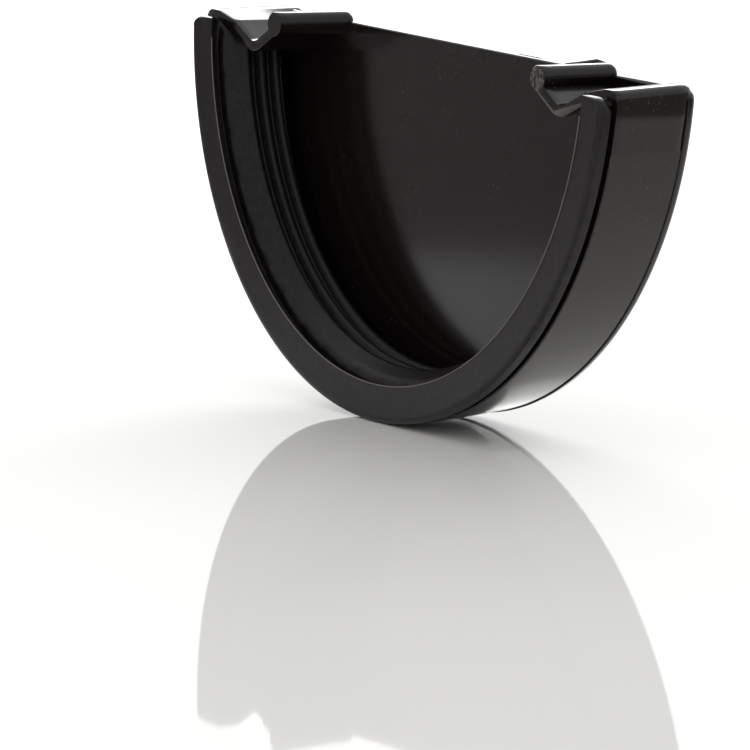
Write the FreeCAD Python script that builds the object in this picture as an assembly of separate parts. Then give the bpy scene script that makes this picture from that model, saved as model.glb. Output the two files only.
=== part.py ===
"""Half-round gutter end cap: a moulded cup with two sprung clip strips, and a ribbed rubber seal.

Millimetres. X runs across the gutter and Z is up. Y runs along the gutter, from the cap's open mouth to its
closed end. The origin is on the gutter's centre line, at the inner face of the end wall.
"""
import FreeCAD, Part
import os
from math import acos, hypot, sin, sqrt, tan

# Gutter that the cap closes
GUTTER_R = 56.0          # outer radius of the gutter's half-round section

# Moulded body
SOCKET_DEPTH = 16.35     # from the front of the seal's rim to the inner face of the end wall
WALL_R = 60.6            # outer radius of the half-round wall
WALL_T = 1.7             # thickness of the half-round wall
WALL_EDGE_R = 0.3        # rounding of the wall's front edge
END_T = 2.25             # thickness of the end wall
END_TOP_Z = -2.0         # straight top edge of the end wall
END_EDGE_R = 0.5         # rounding of that edge, inside the cup
END_CORNER_R = 0.8       # rounding inside the cup, between wall and end wall
FLANGE_PROUD = 0.2       # how far the rear flange stands out from the wall
FLANGE_T = 1.6           # thickness of the rear flange
FLANGE_FRONT_R = 0.3     # rounding of the flange's front rim
FLANGE_BACK_R = 0.65     # rounding of its back rim
FLANGE_CORNER_R = 1.5    # rounding of the flange's two top corners
RIB_CLEAR = 0.6          # room between the gutter and the rib behind the seal
RIB_T = 1.2              # thickness of that rib
RIB_EDGE_R = 0.3         # rounding of its back edge

# Clip strips along the top of the wall
TANGENT_Z = -11.0        # height where the wall leaves its circle and runs straight up
HUMP_Z = -1.45           # top of the strip above the wall
KNEE_X = 53.0            # where the strip turns down
KNEE_Z = -2.75
VALLEY_X = 46.3          # bottom of the V
VALLEY_Z = -6.3
CLIP_T = 1.7             # thickness of the strip
SHOULDER_R = 2.2         # rounding of the strip's outer shoulder
KNEE_R = 3.5             # rounding of the knee, on its upper side
VALLEY_R = 3.0           # rounding of the V, on its upper side
BEAD_X = 39.7            # round bead along the free edge
BEAD_Z = -2.65
BEAD_R = 2.05
CLIP_EDGE_R = 0.25       # rounding of the strip's front end

# Rubber seal
RIM_R = 61.4             # outer radius of the rim in front of the wall
RIM_T = 2.65             # thickness of the rim
RIM_EDGE_R = 1.0         # rounding of the rim's outer front edge
RIM_BACK_R = 0.25        # rounding of its outer back edge
RIM_GAP = 1.35           # gap between the rim and the wall's front edge
RIM_TOP_Z = -2.8         # upper ends of the rim
RIM_END_R = 1.8          # rounding of those ends, in front and outside
LIP_CLEAR = 0.25         # room between the gutter and the rim's sharp inner lip
LIP_SET_BACK = 1.05      # how far the lip lies behind the rim's front
SLOT_R = 57.6            # bottom of the slot between rim and ribbed strip
SLOT_FRONT = 1.9         # slot, measured from the front of the rim
SLOT_BACK = 3.2
SLOT_ROUND = 0.2
RIDGE_AT = 6.95          # first ridge, measured from the front of the rim
RIDGE_PITCH = 2.9
RIDGE_R = 53.15          # sharp crest of a ridge, before rounding
RIDGE_ROUND = 0.65
VALLEY_RING_R = 55.6     # bottom of the grooves between the ridges
GROOVE_ROUND = 0.35
SEAL_LENGTH = 14.1       # from the front of the rim to the back of the ribbed strip
SEAL_BACK_R = 0.2        # rounding of its inner back edge
SEAL_TOP_Z = -5.0        # upper ends of the ribbed strip, below the clips

MOUTH_Y = -SOCKET_DEPTH
WALL_FRONT_Y = MOUTH_Y + RIM_T + RIM_GAP
FLANGE_FRONT_Y = END_T - FLANGE_T
SEAT_R = WALL_R - WALL_T
AXIS = FreeCAD.Vector(0, 1, 0)
ORIGIN = FreeCAD.Vector(0, 0, 0)
BIG = 4 * RIM_R


def section_point(u, v):
    """Point of a section that is turned round the centre line: radius u, place v along it."""
    return FreeCAD.Vector(u, v, 0)


def front_point(u, v):
    """Point of an outline that runs along the strip: u across, v up, at the wall's front edge."""
    return FreeCAD.Vector(u, WALL_FRONT_Y, v)


def rounded_face(corners, place):
    """Face inside a closed run of straight lines, each corner (u, v, r) rounded with the radius r."""
    edges = []
    ends = []
    for i, (u, v, r) in enumerate(corners):
        pu, pv = corners[i - 1][:2]
        nu, nv = corners[(i + 1) % len(corners)][:2]
        a = hypot(pu - u, pv - v)
        b = hypot(nu - u, nv - v)
        au = (pu - u) / a
        av = (pv - v) / a
        bu = (nu - u) / b
        bv = (nv - v) / b
        if r == 0:
            ends.append(((u, v), (u, v)))
            continue
        half = acos(au * bu + av * bv) / 2
        trim = r / tan(half)
        su = au + bu
        sv = av + bv
        reach = (r / sin(half) - r) / hypot(su, sv)
        start = (u + au * trim, v + av * trim)
        stop = (u + bu * trim, v + bv * trim)
        middle = (u + su * reach, v + sv * reach)
        edges.append(Part.Arc(place(*start), place(*middle), place(*stop)).toShape())
        ends.append((start, stop))
    for i, (start, stop) in enumerate(ends):
        before = ends[i - 1][1]
        if hypot(before[0] - start[0], before[1] - start[1]) > 1e-6:
            edges.append(Part.LineSegment(place(*before), place(*start)).toShape())
    return Part.Face(Part.Wire(Part.__sortEdges__(edges)))


def half_turn(corners):
    """Solid swept by a section as it turns half a circle round the centre line, underneath it."""
    return rounded_face(corners, section_point).revolve(ORIGIN, AXIS, 180)


def above(z, y_from=-BIG, y_to=BIG):
    """Block that holds everything above the height z, between two places along the gutter."""
    return Part.makeBox(2 * BIG, y_to - y_from, BIG, FreeCAD.Vector(-BIG, y_from, z))


def offset_corner(before, corner, after, distance):
    """Corner of a run of lines moved sideways by the distance, to the left of its direction."""
    x0, z0 = before
    x1, z1 = corner
    x2, z2 = after
    a = hypot(x1 - x0, z1 - z0)
    b = hypot(x2 - x1, z2 - z1)
    n1 = (-(z1 - z0) / a, (x1 - x0) / a)
    n2 = (-(z2 - z1) / b, (x2 - x1) / b)
    k = distance / (1 + n1[0] * n2[0] + n1[1] * n2[1])
    return x1 + (n1[0] + n2[0]) * k, z1 + (n1[1] + n2[1]) * k


def on_circle(radius, z):
    """Place across the gutter where a circle round the centre line has the height z."""
    return sqrt(radius * radius - z * z)


def on_tangent(radius, z):
    """Place across the gutter where the circle's tangent at TANGENT_Z has the height z."""
    x = on_circle(radius, TANGENT_Z)
    return x - TANGENT_Z / x * (z - TANGENT_Z)


def end_plate():
    """Rear part of the end wall: a half disc that stands out as a flange, with rounded corners and rims."""
    plate = Part.makeCylinder(WALL_R + FLANGE_PROUD, FLANGE_T, FreeCAD.Vector(0, FLANGE_FRONT_Y, 0), AXIS)
    plate = plate.cut(above(END_TOP_Z))
    top = [e for e in plate.Edges if abs(e.BoundBox.ZMax - END_TOP_Z) < 1e-4]
    corners = [e for e in top if e.BoundBox.XLength < 1e-4]
    plate = plate.makeFillet(FLANGE_CORNER_R, corners)
    front = [e for e in plate.Edges if e.BoundBox.YMax < FLANGE_FRONT_Y + 1e-4]
    plate = plate.makeFillet(FLANGE_FRONT_R, front)
    back = [e for e in plate.Edges if e.BoundBox.YMin > END_T - 1e-4]
    return plate.makeFillet(FLANGE_BACK_R, back)


def cup():
    """Half-round wall, end wall, rear flange and the rib behind the seal, up to where the clips start."""
    rib_back = MOUTH_Y + SEAL_LENGTH + RIB_T
    rib_r = GUTTER_R + RIB_CLEAR
    shape = half_turn([
        (0, 0, 0),
        (SEAT_R, 0, END_CORNER_R),
        (SEAT_R, rib_back, 0),
        (rib_r, rib_back, RIB_EDGE_R),
        (rib_r, rib_back - RIB_T, 0),
        (SEAT_R, rib_back - RIB_T, 0),
        (SEAT_R, WALL_FRONT_Y, WALL_EDGE_R),
        (WALL_R, WALL_FRONT_Y, WALL_EDGE_R),
        (WALL_R, FLANGE_FRONT_Y, 0),
        (0, FLANGE_FRONT_Y, 0),
    ])
    shape = shape.cut(above(TANGENT_Z, y_to=0))
    shape = shape.cut(above(END_TOP_Z))
    front = [e for e in shape.Edges if is_top_front(e)]
    return shape.makeFillet(END_EDGE_R, front).fuse(end_plate())


def is_top_front(edge):
    """True for the long front edge of the end wall's straight top."""
    box = edge.BoundBox
    flat = abs(box.ZMin - END_TOP_Z) < 1e-4 and abs(box.ZMax - END_TOP_Z) < 1e-4
    return flat and box.XLength > WALL_R and box.YMax < 1e-4


def clip_strip():
    """Strip along the right-hand top of the wall, from its front edge to the flange: shoulder, V and bead."""
    foot = (on_circle(WALL_R, TANGENT_Z), TANGENT_Z)
    shoulder = (on_tangent(WALL_R, HUMP_Z), HUMP_Z)
    knee = (KNEE_X, KNEE_Z)
    valley = (VALLEY_X, VALLEY_Z)
    slope = (KNEE_Z - VALLEY_Z) / (KNEE_X - VALLEY_X)
    tip = (BEAD_X, VALLEY_Z + slope * (VALLEY_X - BEAD_X))
    drop = CLIP_T * sqrt(1 + slope * slope)
    inner_knee = offset_corner(shoulder, knee, valley, CLIP_T)
    inner_valley = offset_corner(knee, valley, tip, CLIP_T)
    hump_slope = (shoulder[1] - knee[1]) / (shoulder[0] - knee[0])
    inner_x = on_tangent(SEAT_R, HUMP_Z - CLIP_T)
    inner_z = inner_knee[1] + hump_slope * (inner_x - inner_knee[0])
    face = rounded_face([
        (*foot, 0),
        (*shoulder, SHOULDER_R),
        (*knee, KNEE_R),
        (*valley, VALLEY_R),
        (*tip, 0),
        (tip[0], tip[1] - drop, 0),
        (*inner_valley, VALLEY_R + CLIP_T),
        (*inner_knee, KNEE_R - CLIP_T),
        (inner_x, inner_z, SHOULDER_R - CLIP_T),
        (on_circle(SEAT_R, TANGENT_Z), TANGENT_Z, 0),
    ], front_point)
    length = FLANGE_FRONT_Y - WALL_FRONT_Y
    strip = face.extrude(AXIS * length)
    bead_length = END_T - WALL_FRONT_Y - BEAD_R - END_EDGE_R
    bead = Part.makeCylinder(BEAD_R, bead_length, front_point(BEAD_X, BEAD_Z), AXIS)
    dome = Part.makeSphere(BEAD_R, front_point(BEAD_X, BEAD_Z) + AXIS * bead_length)
    strip = strip.fuse([bead, dome]).removeSplitter()
    front = [e for e in strip.Edges if e.BoundBox.YMax < WALL_FRONT_Y + 1e-4]
    outline = [e for e in front if e.BoundBox.ZMax > TANGENT_Z + 0.1]
    return strip.makeFillet(CLIP_EDGE_R, outline)


def body():
    """Whole moulding: the cup with a clip strip on each side."""
    right = clip_strip()
    left = right.mirror(ORIGIN, FreeCAD.Vector(1, 0, 0))
    return cup().fuse([right, left]).removeSplitter()


def seal():
    """Ribbed rubber strip inside the wall, with a rim in front of it that ends under the clips' shoulders."""
    corners = [
        (RIM_R, MOUTH_Y + RIM_T, RIM_BACK_R),
        (RIM_R, MOUTH_Y, RIM_EDGE_R),
        (GUTTER_R + LIP_CLEAR, MOUTH_Y + LIP_SET_BACK, 0),
        (SLOT_R, MOUTH_Y + SLOT_FRONT, SLOT_ROUND),
        (SLOT_R, MOUTH_Y + SLOT_BACK, SLOT_ROUND),
        (GUTTER_R, MOUTH_Y + SLOT_BACK, 0),
    ]
    for i in range(3):
        crest_y = MOUTH_Y + RIDGE_AT + i * RIDGE_PITCH
        corners.append((RIDGE_R, crest_y, RIDGE_ROUND))
        if i < 2:
            corners.append((VALLEY_RING_R, crest_y + RIDGE_PITCH / 2, GROOVE_ROUND))
    corners += [
        (GUTTER_R, MOUTH_Y + SEAL_LENGTH, SEAL_BACK_R),
        (SEAT_R, MOUTH_Y + SEAL_LENGTH, 0),
        (SEAT_R, MOUTH_Y + RIM_T, 0),
    ]
    shape = half_turn(corners)
    shape = shape.cut(above(RIM_TOP_Z))
    shape = shape.cut(above(SEAL_TOP_Z, y_from=MOUTH_Y + RIM_T))
    right = rim_end_trim()
    left = right.mirror(ORIGIN, FreeCAD.Vector(1, 0, 0))
    return shape.cut([right, left])


def rim_end_trim():
    """What comes off the right-hand end of the rim: a block less a smaller one with rounded edges."""
    low = FreeCAD.Vector(GUTTER_R - 2 * RIM_END_R, MOUTH_Y, RIM_TOP_Z - 2 * RIM_END_R)
    size = (RIM_R - low.x, RIM_T, RIM_TOP_Z - low.z)
    kept = Part.makeBox(*size, low)
    top = [e for e in kept.Edges if e.BoundBox.ZMin > RIM_TOP_Z - 1e-4]
    front = [e for e in top if e.BoundBox.YMax < MOUTH_Y + 1e-4]
    side = [e for e in top if e.BoundBox.XMin > RIM_R - 1e-4]
    kept = kept.makeFillet(RIM_END_R, front + side)
    low.y -= RIM_END_R
    block = Part.makeBox(size[0] + RIM_END_R, RIM_T + RIM_END_R, size[2], low)
    return block.cut(kept)


os.makedirs("parts", exist_ok=True)
for name, shape in (("moulded_body", body()), ("rubber_seal", seal())):
    print(name, "solids", len(shape.Solids), "valid", shape.isValid(), "volume mm3", round(shape.Volume, 1))
    box = shape.BoundBox
    print("   x", round(box.XMin, 2), round(box.XMax, 2), "y", round(box.YMin, 2), round(box.YMax, 2),
          "z", round(box.ZMin, 2), round(box.ZMax, 2))
    shape.exportStep(f"parts/{name}.step")
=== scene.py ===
# %% [markdown]
# # A gutter end cap on a white table
# The object closes the end of a half-round rain gutter. It is one glossy black moulding, with a matt
# black rubber seal pressed into its mouth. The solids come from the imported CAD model. This file bends
# them a little to the shape that the photograph shows, makes the clip strips and the flange anew, gives
# everything its finish, adds the small marks that moulding leaves, and sets up the table, the light and
# the camera.

import bmesh
import bpy
import numpy as np
from mathutils import Matrix


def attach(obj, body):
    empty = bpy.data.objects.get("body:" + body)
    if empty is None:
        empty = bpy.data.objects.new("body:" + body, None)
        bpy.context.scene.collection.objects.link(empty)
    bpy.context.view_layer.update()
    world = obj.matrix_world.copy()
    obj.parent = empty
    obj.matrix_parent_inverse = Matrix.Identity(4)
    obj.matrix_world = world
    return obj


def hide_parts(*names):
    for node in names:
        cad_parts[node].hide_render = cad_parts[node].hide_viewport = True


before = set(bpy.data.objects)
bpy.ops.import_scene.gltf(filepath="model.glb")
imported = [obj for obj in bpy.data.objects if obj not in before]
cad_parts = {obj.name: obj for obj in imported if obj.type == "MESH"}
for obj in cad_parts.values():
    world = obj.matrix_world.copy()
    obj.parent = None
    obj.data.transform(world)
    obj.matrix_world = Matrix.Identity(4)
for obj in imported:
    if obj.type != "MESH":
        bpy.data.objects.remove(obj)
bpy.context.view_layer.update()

MM = 0.001
body_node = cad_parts["moulded_body"]
seal_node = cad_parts["rubber_seal"]
for node in (body_node, seal_node):
    print(node.name, len(node.data.polygons), "triangles")

# %% [markdown]
# ## Camera
# The photograph looks from the right, slightly above, through a long lens. A camera's matrix has its
# right, up and backward directions as columns, so these three are worked out from the azimuth, the
# elevation and a small roll.

# %% Camera
CAMERA_AZIMUTH = 57.583      # degrees; 0 looks along +Y and 90 along -X
CAMERA_ELEVATION = 8.812
CAMERA_ROLL = 3.189
CAMERA_DISTANCE = 874.8      # mm
FOCAL_PIXELS = 5480.07       # focal length in pixels of the 750 pixel wide picture
PICTURE_PIXELS = 750
SENSOR = 36.0                # mm
CAMERA_TARGET = (-8.473, -9.304, -55.880)
CAMERA_CLIP = (0.01, 20.0)   # m, the nearest and farthest that it sees


def camera_axes(azimuth, elevation, roll):
    """Right, up and back of a camera on a sphere: back points at it, roll turns the others round it."""
    a, e, r = np.radians([azimuth, elevation, roll])
    back = np.array([np.sin(a) * np.cos(e), -np.cos(a) * np.cos(e), np.sin(e)])
    level = np.array([np.cos(a), np.sin(a), 0.0])
    rise = np.cross(back, level)
    right = np.cos(r) * level + np.sin(r) * rise
    up = np.cos(r) * rise - np.sin(r) * level
    return right, up, back


right, up, back = camera_axes(CAMERA_AZIMUTH, CAMERA_ELEVATION, CAMERA_ROLL)
view = np.eye(4)
view[:3, :3] = np.stack([right, up, back], axis=1)
view[:3, 3] = (np.array(CAMERA_TARGET) + back * CAMERA_DISTANCE) * MM

scene = bpy.context.scene
lens = bpy.data.cameras.new("long_lens")
lens.sensor_width = SENSOR
lens.lens = FOCAL_PIXELS * SENSOR / PICTURE_PIXELS
lens.clip_start, lens.clip_end = CAMERA_CLIP
camera = bpy.data.objects.new("camera", lens)
camera.matrix_world = Matrix(view.tolist())
scene.collection.objects.link(camera)
scene.camera = camera
print("lens", round(lens.lens, 1), "mm, camera at", [round(c / MM) for c in camera.location], "mm")

# %% [markdown]
# ## Shape
# A moulding shrinks and springs a little: its wall flares towards the mouth, the clip strips on top lean
# inwards and rise towards the closed end, and the seal's rim is squeezed flat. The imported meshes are
# straight, so each one is copied, its loose triangles are welded, and its points go through a smooth map.
# All places are in millimetres: across is X, along the gutter is Y, and height is Z. At the end
# everything shrinks by one factor and moves a little, to stay within the CAD model's box.

# %% Welded copies
SHRINK = 0.972               # keeps the bent shape inside the CAD box
SHIFT = np.array([0.0, -0.75, -1.04])
WELD = 1e-6                  # m, corners closer than this are joined
SMOOTH_ANGLE = np.radians(30.0)      # edges sharper than this stay sharp
NORMAL_WEIGHT = 80                   # lets the large faces set the shading of the small ones beside them


def welded_copy(node, name):
    """Copies a node's mesh with its loose triangles joined at their corners."""
    shape = bmesh.new()
    shape.from_mesh(node.data)
    bmesh.ops.remove_doubles(shape, verts=shape.verts, dist=WELD)
    mesh = bpy.data.meshes.new(name)
    shape.to_mesh(mesh)
    shape.free()
    return mesh


def points_of(mesh):
    """The mesh's points in millimetres, one row each."""
    flat = np.empty(len(mesh.vertices) * 3)
    mesh.vertices.foreach_get("co", flat)
    return flat.reshape(-1, 3) / MM


def smoothed(mesh):
    """Shades a mesh smoothly, apart from its sharp edges."""
    mesh.polygons.foreach_set("use_smooth", np.ones(len(mesh.polygons), dtype=bool))
    mesh.set_sharp_from_angle(angle=SMOOTH_ANGLE)


def bent_piece(name, mesh, points, node):
    """Puts new points into a mesh and makes it the piece that is shown for a CAD node."""
    mesh.vertices.foreach_set("co", ((points * SHRINK + SHIFT) * MM).ravel())
    smoothed(mesh)
    mesh.update()
    piece = bpy.data.objects.new(name, mesh)
    scene.collection.objects.link(piece)
    weights = piece.modifiers.new("even_normals", "WEIGHTED_NORMAL")
    weights.mode = "FACE_AREA"
    weights.weight = NORMAL_WEIGHT
    weights.keep_sharp = True
    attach(piece, "root")
    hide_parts(node)
    print(name, len(mesh.vertices), "points", len(mesh.polygons), "faces")
    return piece


print("bent points shrink to", SHRINK, "and move by", SHIFT.tolist(), "mm")

# %% [markdown]
# ### Shell
# Along the gutter, the table `ALONG` moves the front edge, the end wall's inner face and its back. The
# round wall flares towards its front edge. The clip strips and beads on top are cut out of the copy here
# and made new below, because they are too bent for a map of their few points. The cut edges end up inside
# the new pieces.

# %% Bent shell
ALONG = ((-12.35, -12.91), (-2.25, -2.35), (-1.05, -1.15), (0.0, 0.0), (0.65, 1.2), (2.25, 2.9))
FRONT = ALONG[0][1]          # place of the wall's front edge
FLARE = 1.5                  # mm added to the wall's radius at its front edge
FLARE_FROM = (55.0, 3.9)     # radius where the flare starts, and the mm in which it grows to the full
WALL_R = 60.6                # the wall's radius at the flange
WALL_LENGTH = 14.1           # from the front edge to the flange
CLIP_FOOT = -11.0            # height where the strips start in the CAD model
CLIP_EASE = 2.0              # mm above it in which the strips' own moves set in
ACROSS = (37.0, 39.7, 46.3, 53.0, 58.0, 61.4)    # places across the cut edges, and their moves out and up
CLIP_OUT = (-0.42, -0.42, -0.57, -0.52, -0.1, -0.7)
CLIP_UP = (1.03, 1.03, 0.6, 0.5, 1.1, 1.25)
END_TOP = -2.0               # height of the end wall's top edge in the CAD model
END_UP = 0.3                 # mm that this edge moves up
END_INSIDE, END_BACK = 0.3, 0.9      # places inside the end wall, before and behind the flange's front edge
UNDER_FLANGE = 59.3          # the end wall's radius under the turned flange
CUT_ACROSS = 36.0            # the strips and beads are outside this place across
CUT_RADIUS, CUT_BACK = 60.3, 0.8     # the strips' outside, to just behind the flange's front edge
SLACK = 0.01                 # mm, for points on the edge of a cut


def eased(value):
    """Runs from 0 to 1 with level ends: 3 v squared less 2 v cubed, for v between 0 and 1."""
    v = np.clip(value, 0.0, 1.0)
    return v * v * (3.0 - 2.0 * v)


def without(mesh, chosen):
    """Takes the chosen points out of a mesh, with the faces that use them."""
    shape = bmesh.new()
    shape.from_mesh(mesh)
    bmesh.ops.delete(shape, geom=[v for v in shape.verts if chosen[v.index]], context="VERTS")
    shape.to_mesh(mesh)
    shape.free()


def bent_shell(p):
    """Moves the shell's points: along by the table, radii by the flare, and the upper edges out and up."""
    x, y, z = p.T
    side, across, radius = np.sign(x), np.abs(x), np.hypot(x, z)
    along = np.interp(y, *zip(*ALONG))
    to_back = np.clip((along - FRONT) / WALL_LENGTH, 0.0, 1.0)
    grown = np.clip((radius - FLARE_FROM[0]) / FLARE_FROM[1], 0.0, 1.0)
    swell = 1.0 + FLARE * (1.0 - to_back) * grown / np.maximum(radius, 1.0)
    plate = (y > END_INSIDE) | (across < ACROSS[0])
    out = np.where(plate, 0.0, np.interp(across, ACROSS, CLIP_OUT))
    rise = np.where(plate, END_UP, np.interp(across, ACROSS, CLIP_UP))
    on_clip = eased((z - CLIP_FOOT) / CLIP_EASE)
    new_x = x * swell * (1.0 - on_clip) + (x + side * out) * on_clip
    new_z = z * swell * (1.0 - on_clip) + (z + rise) * on_clip
    limit = np.where(y > END_BACK, UNDER_FLANGE, np.where(y > END_INSIDE, WALL_R, np.inf))
    squeeze = np.minimum(limit / np.maximum(np.hypot(new_x, new_z), 1.0), 1.0)
    return np.stack([new_x * squeeze, along, new_z * squeeze], axis=1)


body_mesh = welded_copy(body_node, "moulding")
x, y, z = points_of(body_mesh).T
old_strips = (np.abs(x) > CUT_ACROSS) & (y < -2 * SLACK) | (np.hypot(x, z) > CUT_RADIUS) & (y < CUT_BACK)
without(body_mesh, old_strips & (z > CLIP_FOOT + SLACK) | (z > END_TOP + 2 * SLACK))
body = bent_piece("moulding", body_mesh, bent_shell(points_of(body_mesh)), "moulded_body")

# %% [markdown]
# ### Lofts
# The strips, the beads, the flange and the smaller pieces are lofts: a closed section repeated along a
# path, so a grid over two parameters, with a lid at both ends. A section is a circle, an oval, or
# straight lines with their corners rounded by arcs.

# %% Rounded lines and lofts


def rounded_line(corners, radii, steps=8):
    """Points along straight lines whose inner corners are replaced by arcs that touch both lines."""
    corners = np.array(corners, dtype=float)
    points = [corners[:1]]
    for before, corner, after, radius in zip(corners, corners[1:], corners[2:], radii):
        u = (before - corner) / np.linalg.norm(before - corner)
        v = (after - corner) / np.linalg.norm(after - corner)
        half = 0.5 * np.arccos(np.clip(u @ v, -1.0, 1.0))
        middle = (u + v) / np.linalg.norm(u + v)
        centre = corner + middle * radius / np.sin(half)
        turn = np.linspace(half - 0.5 * np.pi, 0.5 * np.pi - half, steps)[:, None]
        sideways = u - (u @ middle) * middle
        sideways /= np.linalg.norm(sideways)
        points.append(centre - radius * (np.cos(turn) * middle + np.sin(turn) * sideways))
    return np.concatenate(points + [corners[-1:]])


def lofted(name, rings):
    """Closed grid: each ring is joined to the next, and the first and the last get a lid."""
    n, m, _ = rings.shape
    i, a = np.divmod(np.arange((n - 1) * m), m)
    b = (a + 1) % m
    faces = np.stack([i * m + a, (i + 1) * m + a, (i + 1) * m + b, i * m + b], axis=1).tolist()
    faces += [list(range(m)), list(range((n - 1) * m, n * m))]
    mesh = bpy.data.meshes.new(name)
    mesh.from_pydata(((rings * SHRINK + SHIFT) * MM).reshape(-1, 3).tolist(), [], faces)
    shape = bmesh.new()
    shape.from_mesh(mesh)
    bmesh.ops.recalc_face_normals(shape, faces=shape.faces)
    shape.to_mesh(mesh)
    shape.free()
    smoothed(mesh)
    piece = bpy.data.objects.new(name, mesh)
    scene.collection.objects.link(piece)
    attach(piece, "root")
    print(name, n, "rings of", m, "points")
    return piece


elbow = rounded_line(((0.0, 0.0), (1.0, 0.0), (1.0, 1.0)), (0.2,))
print("a line with one rounded corner has", len(elbow), "points")

# %% [markdown]
# ### Clip strips
# A strip carries on from the wall, turns over a flat-topped shoulder, falls to a knee and a V, and ends
# at the bead. Towards the end wall it leans inwards and its shoulder rises. Its cut front edge is
# slightly worn, and its rear end is rounded off over the end wall. A curve with a bevel keeps one section
# all the way, so here each ring is worked out for its own place.

# %% Lofted clip strips
FOOT_ANGLE = 10.46           # degrees below level where a strip leaves the wall
CREST = (-1.38, 0.055)       # height of the shoulder in front, and its rise for each mm towards the end wall
CREST_END = (58.5, 0.13)     # place across where the flat top ends in front, and its way inwards for each mm
KNEE = (53.0, -2.55)         # place across and height in front
KNEE_RISE = 0.011            # for each mm towards the end wall
VALLEY = (46.25, -5.7)
BEAD = (39.8, -1.9)
BEAD_RISE = 0.021
LEAN = 0.04                  # mm inwards for each mm towards the end wall
STRIP_RADII = (20.0, 1.9, 5.0, 3.5, 3.0)     # wall, shoulder, end of the flat top, knee and V
STRIP_T = 1.75               # thickness
STRIP_END, STRIP_ROUND = 2.5, 0.8    # place where a strip ends over the end wall, and the rounding there
FLANGE_FRONT = 1.19          # place of the flange's front edge
STRIP_BODY = (-11.5, FLANGE_FRONT, 9)    # first and last plain ring, and their number
FALL_FROM = (-3.2, 1.2)      # height above which the rear end rounds off, and the mm in which that sets in
CUT = 0.14                   # width of the worn edge on the cut front ends
CUT_MIDDLE = 0.3 * CUT       # one ring in between makes that edge round
DRAW_IN = 0.65               # mm that a strip's outside draws in for each mm behind the flange's front
MIRROR = np.array([-1.0, 1.0, 1.0])
ROUND_OFF = np.radians(np.linspace(0.0, 90.0, 8))    # steps of a rounded rear end


def bead_centre(place):
    """The bead's centre: its front place, moved inwards and up towards the end wall."""
    s = place - FRONT
    return np.array([BEAD[0] - LEAN * s, BEAD[1] + BEAD_RISE * s])


def strip_ring(place, inset=0.0, fall=0.0):
    """Closed section of a strip: the rounded outer line, and back along its offset by the thickness."""
    s = place - FRONT
    flare = FLARE * (1.0 - np.clip(s / WALL_LENGTH, 0.0, 1.0))
    r = WALL_R + flare - DRAW_IN * max(place - FLANGE_FRONT, 0.0)
    a = np.radians([FOOT_ANGLE, 0.5 * FOOT_ANGLE])
    crest = CREST[0] + CREST[1] * s
    corners = [(r * np.cos(a[0]), -r * np.sin(a[0])), (r * np.cos(a[1]), -r * np.sin(a[1])), (r, crest),
               (CREST_END[0] - CREST_END[1] * s, crest), (KNEE[0] - LEAN * s, KNEE[1] + KNEE_RISE * s),
               (VALLEY[0] - LEAN * s, VALLEY[1]), bead_centre(place)]
    line = rounded_line(corners, STRIP_RADII)
    step = np.gradient(line, axis=0)
    outward = np.stack([step[:, 1], -step[:, 0]], axis=1) / np.linalg.norm(step, axis=1)[:, None]
    under = line - (STRIP_T - inset) * outward
    line = line - inset * outward
    line[:, 1] -= fall * np.clip((line[:, 1] - FALL_FROM[0]) / FALL_FROM[1], 0.0, 1.0)
    return np.insert(np.concatenate([line, under[::-1]]), 1, place, axis=1)


strip_rings = [strip_ring(FRONT, CUT), strip_ring(FRONT + CUT_MIDDLE, CUT_MIDDLE), strip_ring(FRONT + CUT)]
strip_rings += [strip_ring(place) for place in np.linspace(*STRIP_BODY)]
strip_rings += [strip_ring(STRIP_END - STRIP_ROUND * (1.0 - np.sin(b)), fall=STRIP_ROUND * (1.0 - np.cos(b)))
                for b in ROUND_OFF]
strip_rings = np.array(strip_rings)
strip_right = lofted("strip_right", strip_rings)
strip_left = lofted("strip_left", strip_rings * MIRROR)

# %% [markdown]
# ### Beads
# Each strip ends in a round bead, which leans and rises with it. Its front end is cut off flat, and
# stands a hair's breadth in front of the strip's, because two faces in one plane would flicker. Its rear
# end is rounded off.

# %% Lofted beads
BEAD_R = 2.05
BEAD_END, BEAD_ROUND = 1.6, 1.0      # place where a bead ends over the end wall, and the rounding there
BEAD_BODY = (-11.5, 0.0, 7)          # first and last plain ring, and their number
BEAD_PROUD = 0.03            # mm that its cut end stands in front of the strip's
BEAD_POINTS = 48


def once_round(count):
    """Angles that go once round a circle in equal steps."""
    return np.linspace(0.0, 2.0 * np.pi, count, endpoint=False)


def bead_ring(place, radius):
    """Circle round the bead's centre at one place along the gutter."""
    turn = once_round(BEAD_POINTS)
    x, z = bead_centre(place)
    circle = (x + radius * np.cos(turn), np.full(turn.shape, place), z + radius * np.sin(turn))
    return np.stack(circle, axis=1)


bead_rings = [bead_ring(FRONT - BEAD_PROUD, BEAD_R - CUT),
              bead_ring(FRONT + CUT_MIDDLE, BEAD_R - CUT_MIDDLE), bead_ring(FRONT + CUT, BEAD_R)]
bead_rings += [bead_ring(place, BEAD_R) for place in np.linspace(*BEAD_BODY)]
bead_rings += [bead_ring(BEAD_END - BEAD_ROUND * (1.0 - np.sin(b)), BEAD_R - BEAD_ROUND * (1.0 - np.cos(b)))
               for b in ROUND_OFF]
bead_rings = np.array(bead_rings)
bead_right = lofted("bead_right", bead_rings)
bead_left = lofted("bead_left", bead_rings * MIRROR)

# %% [markdown]
# ### Flange
# The thin flange round the end wall stands a little outside the wall and tapers to the back, with a wide
# rounding there. Its two upper ends are rounded off too. The Screw modifier could turn the profile, but
# not with a radius that falls off at the ends, so the ring is a formula.

# %% Turned flange
FLANGE_BACK = 2.92
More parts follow.
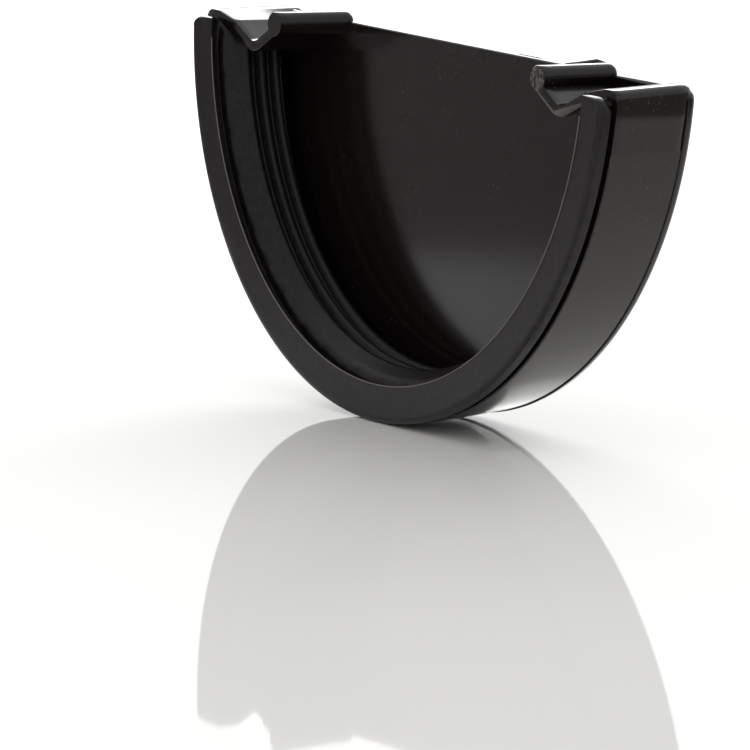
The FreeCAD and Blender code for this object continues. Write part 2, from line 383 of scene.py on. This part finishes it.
# radius and place of its corners, and the rounding of the two outer ones
FLANGE = ((60.2, FLANGE_FRONT), (60.84, FLANGE_FRONT), (60.5, FLANGE_BACK), (58.7, FLANGE_BACK))
FLANGE_RADII = (0.2, 1.3)
FLANGE_END = (-3.6, 1.9, 1.2)    # height where its ends start to round off, their length and their depth
FLANGE_LOW = 0.02            # mm that its ends stay below the end wall's top
FLANGE_STEPS = 361


def turned(radii, places, sweep):
    """Rings of a turned piece: a closed profile of radii and places, swung round the gutter's centre line."""
    sweep = sweep[:, None]
    return np.stack([np.cos(sweep) * radii, np.ones_like(sweep) * places, -np.sin(sweep) * radii], axis=2)


profile = rounded_line(FLANGE, FLANGE_RADII)
start = np.arcsin(-(END_TOP + END_UP - FLANGE_LOW) / FLANGE[1][0])
sweep = np.linspace(start, np.pi - start, FLANGE_STEPS)
near_end = np.clip((-WALL_R * np.sin(sweep) - FLANGE_END[0]) / FLANGE_END[1], 0.0, 1.0)[:, None]
radii = profile[:, 0] - FLANGE_END[2] * (1.0 - np.sqrt(1.0 - near_end ** 2))
flange = lofted("flange", turned(radii, profile[:, 1], sweep))

# %% [markdown]
# ### Seal
# The rim in front grows wider and thinner, and its upper ends rise and get rounder. The ribbed strip
# behind it stays nearly as it is, apart from its outer part, which fills the space under the clip strips.
# The seal's own points are close enough for a map, once the flat ends of the rim are split.

# %% Bent seal
SEAL_ALONG = ((-16.35, -15.87), (-15.3, -15.39), (-14.45, -14.57), (-13.7, -13.79), (-13.15, -13.3),
              (-9.4, -9.6), (-6.5, -6.68), (-3.6, -3.76), (-2.25, -2.35))
SEAL_OUT = ((0.0, 0.0), (53.0, 53.0), (56.25, 56.05), (57.6, 57.6), (58.9, 59.6), (61.4, 62.05))
RIM_BACK = -13.6             # the rim is in front of this place
RIM_UP = (0.35, -7.0, 4.0)   # mm that its ends rise, the height where that starts, and the mm it takes
RIM_TOP = (-2.45, 59.05, 3.0)    # height of its ends, where they start to fall outside, and their rounding
RIM_MIDDLE = (-14.83, 0.1, 0.94)     # middle of its ends along the gutter, their half flat and their rounding
RIM_SHARE = 0.5              # share of that second rounding that shows
RIM_SPLIT = (-6.5, 4)        # height above which its triangles are split, and the number of cuts
STRIP_UP = (2.0, -6.0, 1.0)  # the rise of the ribbed strip's outer part, as for the rim
STRIP_OUT = (56.5, 1.0)      # radius where that part starts, and the mm in which it sets in


def finer(mesh, chosen, cuts):
    """Splits the large triangles whose corners are all chosen, so that they can take a round shape."""
    shape = bmesh.new()
    shape.from_mesh(mesh)
    faces = [f for f in shape.faces if all(chosen[v.index] for v in f.verts)]
    edges = list({e for f in faces for e in f.edges})
    bmesh.ops.subdivide_edges(shape, edges=edges, cuts=cuts, use_grid_fill=True)
    bmesh.ops.triangulate(shape, faces=[f for f in shape.faces if len(f.verts) > 3])
    shape.to_mesh(mesh)
    shape.free()
    print(mesh.name, "has", len(faces), "of its triangles split")


def bent_seal(p):
    """Moves the seal's points: along and radii by the two tables, the upper ends by rise and rounding."""
    x, y, z = p.T
    radius = np.hypot(x, z)
    swell = np.interp(radius, *zip(*SEAL_OUT)) / radius
    along = np.interp(y, *zip(*SEAL_ALONG))
    rim_rise = RIM_UP[0] * eased((z - RIM_UP[1]) / RIM_UP[2])
    strip_rise = STRIP_UP[0] * eased((z - STRIP_UP[1]) / STRIP_UP[2])
    strip_rise *= np.clip((radius - STRIP_OUT[0]) / STRIP_OUT[1], 0.0, 1.0)
    on_rim = y < RIM_BACK
    height = z * swell + np.where(on_rim, rim_rise, strip_rise)
    top, start, outer = RIM_TOP
    middle, flat, inner = RIM_MIDDLE
    fall_out = outer - np.sqrt(outer ** 2 - np.clip(np.abs(x * swell) - start, 0.0, outer) ** 2)
    fall_along = inner - np.sqrt(inner ** 2 - np.clip(np.abs(along - middle) - flat, 0.0, inner) ** 2)
    height = np.where(on_rim, np.minimum(height, top - fall_out - RIM_SHARE * fall_along), height)
    return np.stack([x * swell, along, height], axis=1)


seal_mesh = welded_copy(seal_node, "seal")
seal_points = points_of(seal_mesh)
finer(seal_mesh, (seal_points[:, 1] < RIM_BACK) & (seal_points[:, 2] > RIM_SPLIT[0]), RIM_SPLIT[1])
seal = bent_piece("seal", seal_mesh, bent_seal(points_of(seal_mesh)), "rubber_seal")

# %% [markdown]
# ### Line on the lip
# A thin raised line runs round the inner edge of the rim, such as a rubber moulding has where the halves
# of its tool meet. It is a turned piece with a small round section.

# %% Lip line
LIP = (56.02, -15.44, 0.1)   # radius and place of the line, and its own radius
LIP_ENDS = (6.0, 174.0, 121)     # its first and last angle below level in degrees, and the number of rings
LIP_POINTS = 8

turn = once_round(LIP_POINTS)
lip_section = (LIP[0] + LIP[2] * np.cos(turn), LIP[1] + LIP[2] * np.sin(turn))
lip = lofted("lip_line", turned(*lip_section, np.radians(np.linspace(*LIP_ENDS))))
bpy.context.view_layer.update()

# %% [markdown]
# ## Colours and nodes
# Colours are written as sRGB hex values, as a colour picker shows them, and shaders work in linear light.
# One function turns the first into the second. Another adds a node to a material, sets its values and
# links its inputs.

# %% Helpers for materials


def linear(hex_colour):
    """sRGB hex to linear light: below 0.04045 divide by 12.92, above it the 2.4 power curve."""
    value = np.array([int(hex_colour[i:i + 2], 16) for i in (1, 3, 5)]) / 255.0
    low = value / 12.92
    high = ((value + 0.055) / 1.055) ** 2.4
    return (*np.where(value <= 0.04045, low, high).tolist(), 1.0)


def add(tree, kind, settings=None, values=None, links=None):
    """Adds one node: settings are its own properties, values its input values, links its inputs' sources."""
    node = tree.nodes.new(kind)
    for name, value in (settings or {}).items():
        setattr(node, name, value)
    for name, value in (values or {}).items():
        node.inputs[name].default_value = value
    for name, source in (links or {}).items():
        tree.links.new(source, node.inputs[name])
    return node


def empty_material(name):
    """A material with an empty node tree and its output node."""
    material = bpy.data.materials.new(name)
    material.use_nodes = True
    tree = material.node_tree
    tree.nodes.clear()
    return material, tree, tree.nodes.new("ShaderNodeOutputMaterial")


print("mid grey #808080 is", round(linear("#808080")[0], 3), "in linear light")

# %% [markdown]
# ## Moulded uPVC
# Gutter fittings are injection moulded in uPVC against a polished tool. The surface is glossy and nearly
# mirror smooth, with a faint waviness from shrinking and a little dust that clings to it. The base is
# almost black, so nearly all that shows is reflection. One noise makes the waves, as a bump, and also the
# patches in which small Voronoi cells become specks of dust.

# %% Glossy black uPVC
UPVC_BLACK = "#110d0c"
UPVC_DUST = "#5a5652"
UPVC_IOR = 1.41
UPVC_ROUGHNESS = 0.14
WAVE_MM = 9.0                # size of the shrink waves
WAVE_DETAIL = 2.0
WAVE_BUMP = (0.05, 0.2)      # strength, and height in mm
DUST_MM = 0.8                # spacing of the dust specks, coarser than real dust so that they show
DUST_SIZE = (0.16, 0.06)     # a speck fades in between these shares of the spacing
DUST_COVER = 0.75            # share of the dust's colour in a speck
DUST_PATCH = (0.46, 0.62)    # wave values between which the dust sets in, so that it lies in patches

upvc, tree, output = empty_material("black_moulded_upvc")
coords = add(tree, "ShaderNodeTexCoord").outputs["Object"]
waves = add(tree, "ShaderNodeTexNoise", values={"Scale": 1 / (WAVE_MM * MM), "Detail": WAVE_DETAIL},
            links={"Vector": coords})
specks = add(tree, "ShaderNodeTexVoronoi", values={"Scale": 1 / (DUST_MM * MM)}, links={"Vector": coords})
speck = add(tree, "ShaderNodeMapRange",
            values={"From Min": DUST_SIZE[0], "From Max": DUST_SIZE[1], "To Max": DUST_COVER},
            links={"Value": specks.outputs["Distance"]})
patch = add(tree, "ShaderNodeMapRange", values={"From Min": DUST_PATCH[0], "From Max": DUST_PATCH[1]},
            links={"Value": waves.outputs["Fac"]})
dust = add(tree, "ShaderNodeMath", {"operation": "MULTIPLY"},
           links={0: speck.outputs["Result"], 1: patch.outputs["Result"]})
colour = add(tree, "ShaderNodeMix", {"data_type": "RGBA"}, {"A": linear(UPVC_BLACK), "B": linear(UPVC_DUST)},
             {"Factor": dust.outputs[0]})
bump = add(tree, "ShaderNodeBump", values={"Strength": WAVE_BUMP[0], "Distance": WAVE_BUMP[1] * MM},
           links={"Height": waves.outputs["Fac"]})
shader = add(tree, "ShaderNodeBsdfPrincipled", values={"Roughness": UPVC_ROUGHNESS, "IOR": UPVC_IOR},
             links={"Base Color": colour.outputs["Result"], "Normal": bump.outputs["Normal"]})
tree.links.new(shader.outputs["BSDF"], output.inputs["Surface"])
body.data.materials.clear()
for piece in (body, strip_right, strip_left, bead_right, bead_left, flange):
    piece.data.materials.append(upvc)
print(upvc.name, len(tree.nodes), "nodes")

# %% [markdown]
# ## EPDM rubber
# The seal is moulded EPDM rubber. It is matt, and its soft skin holds a fine grey dust in a mottle. Its
# own black is deeper than the moulding's, and its reflections are weak and blurred. The same noise sets
# the dust's colour and a fine bump, so that both lie in the same places.

# %% Matt black EPDM
EPDM_BLACK = "#0e0b0b"
EPDM_DUST = "#201c1c"
EPDM_IOR = 1.32
EPDM_ROUGHNESS = 0.34
GRAIN_MM = 1.1               # size of the dusty mottle
GRAIN_DETAIL, GRAIN_FINE = 5.0, 0.65     # levels of the noise, and the weight of its finer ones
GRAIN_DUST = (0.4, 0.75)     # mottle values between which the dust sets in
GRAIN_BUMP = (0.2, 0.1)      # strength, and height in mm

epdm, tree, output = empty_material("black_epdm_rubber")
coords = add(tree, "ShaderNodeTexCoord").outputs["Object"]
mottle = add(tree, "ShaderNodeTexNoise",
             values={"Scale": 1 / (GRAIN_MM * MM), "Detail": GRAIN_DETAIL, "Roughness": GRAIN_FINE},
             links={"Vector": coords})
dust = add(tree, "ShaderNodeMapRange", values={"From Min": GRAIN_DUST[0], "From Max": GRAIN_DUST[1]},
           links={"Value": mottle.outputs["Fac"]})
colour = add(tree, "ShaderNodeMix", {"data_type": "RGBA"}, {"A": linear(EPDM_BLACK), "B": linear(EPDM_DUST)},
             {"Factor": dust.outputs["Result"]})
bump = add(tree, "ShaderNodeBump", values={"Strength": GRAIN_BUMP[0], "Distance": GRAIN_BUMP[1] * MM},
           links={"Height": mottle.outputs["Fac"]})
shader = add(tree, "ShaderNodeBsdfPrincipled", values={"Roughness": EPDM_ROUGHNESS, "IOR": EPDM_IOR},
             links={"Base Color": colour.outputs["Result"], "Normal": bump.outputs["Normal"]})
tree.links.new(shader.outputs["BSDF"], output.inputs["Surface"])
seal.data.materials.clear()
seal.data.materials.append(epdm)
print(epdm.name, len(tree.nodes), "nodes")

# %% [markdown]
# ## Lip line with a painted highlight
# The line on the lip is the same rubber, but its colour is made pale: a painted highlight for the light that
# its thin edge catches. It is only a fifth of a millimetre thick, so one even colour is enough.

# %% EPDM lip line with a painted highlight
# painted highlight: this pale colour stands for the light that the lip line's thin edge catches
EPDM_LIP_HIGHLIGHT = "#6a6463"

lip_highlight, tree, output = empty_material("epdm_lip_painted_highlight")
shader = add(tree, "ShaderNodeBsdfPrincipled",
             values={"Base Color": linear(EPDM_LIP_HIGHLIGHT), "Roughness": EPDM_ROUGHNESS, "IOR": EPDM_IOR})
tree.links.new(shader.outputs["BSDF"], output.inputs["Surface"])
lip.data.materials.append(lip_highlight)
print(lip_highlight.name, "on", lip.name)

# %% [markdown]
# ## Moulding flash
# Where the two halves of a tool meet, a thin fin of plastic can be left. One lies behind the right-hand
# bead and climbs to a point, and one is a short ledge on the end wall's top. Each fin is a loft: one
# parameter runs along a line of points, and the other goes once round a small oval section.

# %% Flash
FLASH_T = 0.35               # thickness of a fin
FLASH_POINTS = 12            # points round its section
FLASH_FOOT = (2.3, -2.0)     # place along the gutter and height of its foot
# places across, and the fin's heights there
BEAD_FLASH = ((21.6, 0.25), (28.0, 1.3), (33.7, 2.4), (36.1, 2.2))
END_FLASH = ((11.2, 0.82), (14.0, 0.85), (17.9, 0.85))


def fin(name, table):
    """Thin fin: at each place of the table stands an oval of the height given there."""
    across, heights = np.array(table).T[:, :, None]
    turn = once_round(FLASH_POINTS)
    y = FLASH_FOOT[0] + 0.5 * FLASH_T * np.cos(turn) * np.minimum(heights / FLASH_T, 1.0)
    z = FLASH_FOOT[1] + 0.5 * heights * (1.0 + np.sin(turn))
    return lofted(name, np.stack([across * np.ones_like(turn), y, z], axis=2))


for flash in (fin("bead_flash", BEAD_FLASH), fin("end_flash", END_FLASH)):
    flash.data.materials.append(upvc)
    print(flash.name, "is", flash.data.materials[0].name)

# %% [markdown]
# ## Torn end of the right bead
# The cut end of the right-hand bead looks torn. Torn uPVC is rough and whitened, with grey and dark
# spots. The bead's front lid is a face of its own, so it can take a second material.

# %% Torn uPVC
TORN_GREY = "#5c5856"
TORN_ROUGHNESS = 0.6
TORN_SPOT_MM = 0.7           # size of the spots
TORN_DETAIL = 4.0
TORN_SPOT = (0.42, 0.62)     # noise values between which the grey sets in

torn, tree, output = empty_material("torn_upvc")
coords = add(tree, "ShaderNodeTexCoord").outputs["Object"]
spots = add(tree, "ShaderNodeTexNoise", values={"Scale": 1 / (TORN_SPOT_MM * MM), "Detail": TORN_DETAIL},
            links={"Vector": coords})
light = add(tree, "ShaderNodeMapRange", values={"From Min": TORN_SPOT[0], "From Max": TORN_SPOT[1]},
            links={"Value": spots.outputs["Fac"]})
colour = add(tree, "ShaderNodeMix", {"data_type": "RGBA"}, {"A": linear(UPVC_BLACK), "B": linear(TORN_GREY)},
             {"Factor": light.outputs["Result"]})
shader = add(tree, "ShaderNodeBsdfPrincipled", values={"Roughness": TORN_ROUGHNESS, "IOR": UPVC_IOR},
             links={"Base Color": colour.outputs["Result"]})
tree.links.new(shader.outputs["BSDF"], output.inputs["Surface"])
bead_mesh = bead_right.data
bead_mesh.materials.append(torn)
front_lid = len(bead_mesh.polygons) - 2      # a loft's two lids are its last faces
bead_mesh.polygons[front_lid].material_index = 1
print(torn.name, "on the front lid of", bead_right.name)

# %% [markdown]
# ## Table
# The cap stands on a white acrylic sheet, so it has a pale mirror image below it. It rocks a little on
# its round rim, and the table is level in the picture. So the table's normal has no sideways part in the
# camera's view, and the sheet is set at the lowest point along that normal. It is a plain square with a
# clear glossy surface over white.

# %% White acrylic table
TABLE_WHITE = "#fbfaf7"
TABLE_ROUGHNESS = 0.03
TABLE_IOR = 1.49
TABLE_HALF = 3.0             # m

elevation = np.radians(CAMERA_ELEVATION)
normal = np.cos(elevation) * up + np.sin(elevation) * back
toward = np.cross(right, normal)
shown = np.concatenate([points_of(piece.data) for piece in (body, seal)])
lowest = (shown @ normal).min() * MM
corners = [lowest * normal + TABLE_HALF * (sx * right - sy * toward)
           for sx, sy in ((-1, -1), (1, -1), (1, 1), (-1, 1))]
mesh = bpy.data.meshes.new("table")
mesh.from_pydata([c.tolist() for c in corners], [], [(0, 1, 2, 3)])
table = bpy.data.objects.new("table", mesh)
scene.collection.objects.link(table)
acrylic, tree, output = empty_material("white_acrylic_sheet")
shader = add(tree, "ShaderNodeBsdfPrincipled",
             values={"Base Color": linear(TABLE_WHITE), "Roughness": TABLE_ROUGHNESS, "IOR": TABLE_IOR})
tree.links.new(shader.outputs["BSDF"], output.inputs["Surface"])
mesh.materials.append(acrylic)
print("table faces", [round(c, 2) for c in mesh.polygons[0].normal], "at", round(lowest / MM, 2), "mm")

# %% [markdown]
# ## Room
# The room is white behind the cap and a little darker on the camera's side, so the black surfaces that
# look back at the room stay dark. The camera itself sees plain white, by the light path's camera ray, so
# the background needs no more light on the object.

# %% White room
ROOM_BEHIND = 1.0
ROOM_FRONT = 0.8
ROOM_TURN = (-0.3, 0.7)      # how far a direction points behind the cap, from fully dark to fully white

world = bpy.data.worlds.new("white_room")
scene.world = world
world.use_nodes = True
tree = world.node_tree
tree.nodes.clear()
path = add(tree, "ShaderNodeLightPath")
looking = add(tree, "ShaderNodeTexCoord").outputs["Generated"]
behind = add(tree, "ShaderNodeVectorMath", {"operation": "DOT_PRODUCT"},
             {1: (-back[0], -back[1], 0.0)}, {0: looking})
room = add(tree, "ShaderNodeMapRange", {"interpolation_type": "SMOOTHSTEP"},
           {"From Min": ROOM_TURN[0], "From Max": ROOM_TURN[1], "To Min": ROOM_FRONT, "To Max": ROOM_BEHIND},
           {"Value": behind.outputs["Value"]})
strength = add(tree, "ShaderNodeMapRange", values={"To Max": 1.0},
               links={"Value": path.outputs["Is Camera Ray"], "To Min": room.outputs["Result"]})
background = add(tree, "ShaderNodeBackground", values={"Color": (1, 1, 1, 1)},
                 links={"Strength": strength.outputs["Result"]})
output = tree.nodes.new("ShaderNodeOutputWorld")
tree.links.new(background.outputs["Background"], output.inputs["Surface"])
scene.view_settings.view_transform = "Standard"
print(world.name, "from", ROOM_FRONT, "to", ROOM_BEHIND)
print("view transform", scene.view_settings.view_transform)

# %% [markdown]
# ## Softbox
# One wide softbox hangs behind and above. The tops of the clip strips mirror it, and shine nearly white.
# An area lamp is used because its rectangle shows in reflections. It shines along its own -Z, so the
# matrix that hangs it has the direction from the cap to the lamp as its third column.

# %% Softbox
SOFTBOX_DIRECTION = (-0.74, 0.52, 0.43)
SOFTBOX_AWAY = 900.0         # mm
SOFTBOX_SIZE = (0.9, 0.36)   # m
SOFTBOX_WATTS = 7.5

direction = np.array(SOFTBOX_DIRECTION) / np.linalg.norm(SOFTBOX_DIRECTION)
level = np.cross([0.0, 0.0, 1.0], direction)
level /= np.linalg.norm(level)
hang = np.eye(4)
hang[:3, :3] = np.stack([level, np.cross(direction, level), direction], axis=1)
hang[:3, 3] = direction * SOFTBOX_AWAY * MM
lamp = bpy.data.lights.new("softbox", "AREA")
lamp.shape = "RECTANGLE"
lamp.size, lamp.size_y = SOFTBOX_SIZE
lamp.energy = SOFTBOX_WATTS
softbox = bpy.data.objects.new("softbox", lamp)
softbox.matrix_world = Matrix(hang.tolist())
scene.collection.objects.link(softbox)
print("softbox", lamp.energy, "W at", [round(c / MM) for c in hang[:3, 3]], "mm")

# %% [markdown]
# ## Cards
# Two low grey cards stand outside the picture, as photographers place them beside a glossy black product.
# The wall mirrors the one on the right, which draws a dark band under the bright shoulder. The end wall
# and the rim mirror the one in front. A darker room would darken every side, and a card darkens only what
# mirrors it. The cards are only there for mirror reflections and take no light away.

# %% Grey cards
SIDE_GREY = "#8a8585"
SIDE_FROM = (60.0, -5.0, 0.0)    # point on the wall that the side card stands off from
SIDE_AWAY = 170.0            # mm from it
SIDE_HALF = 160.0            # half its length
SIDE_TOP = 75.0              # above the gutter's centre line
FRONT_GREY = "#a5a1a1"
FRONT_AWAY = 190.0           # mm from the centre line
FRONT_HALF = 150.0
FRONT_TOP = 60.0


def card(name, grey, foot, facing, half, top):
    """An upright grey card on the table that only mirror reflections see."""
    level = np.array([-facing[1], facing[0], 0.0]) / np.hypot(facing[0], facing[1])
    corners = [foot + level * s * half + np.array([0.0, 0.0, z])
               for s, z in ((-1, lowest / MM), (1, lowest / MM), (1, top), (-1, top))]
    mesh = bpy.data.meshes.new(name)
    mesh.from_pydata([(c * MM).tolist() for c in corners], [], [(0, 1, 2, 3)])
    piece = bpy.data.objects.new(name, mesh)
    scene.collection.objects.link(piece)
    piece.visible_diffuse = False
    piece.visible_shadow = False
    piece.visible_camera = False
    felt, tree, output = empty_material(name + "_felt")
    shader = add(tree, "ShaderNodeBsdfPrincipled",
                 values={"Base Color": linear(grey), "Roughness": 1.0, "Specular IOR Level": 0.0})
    tree.links.new(shader.outputs["BSDF"], output.inputs["Surface"])
    mesh.materials.append(felt)
    print(name, "at", [round(c) for c in foot], "mm")


# the right-hand wall mirrors the camera's view this way, and the end wall the opposite way
away = np.array([back[0], -back[1], 0.0]) / np.hypot(back[0], back[1])
card("side_card", SIDE_GREY, np.array(SIDE_FROM) + away * SIDE_AWAY, -away, SIDE_HALF, SIDE_TOP)
card("front_card", FRONT_GREY, -away * FRONT_AWAY, away, FRONT_HALF, FRONT_TOP)
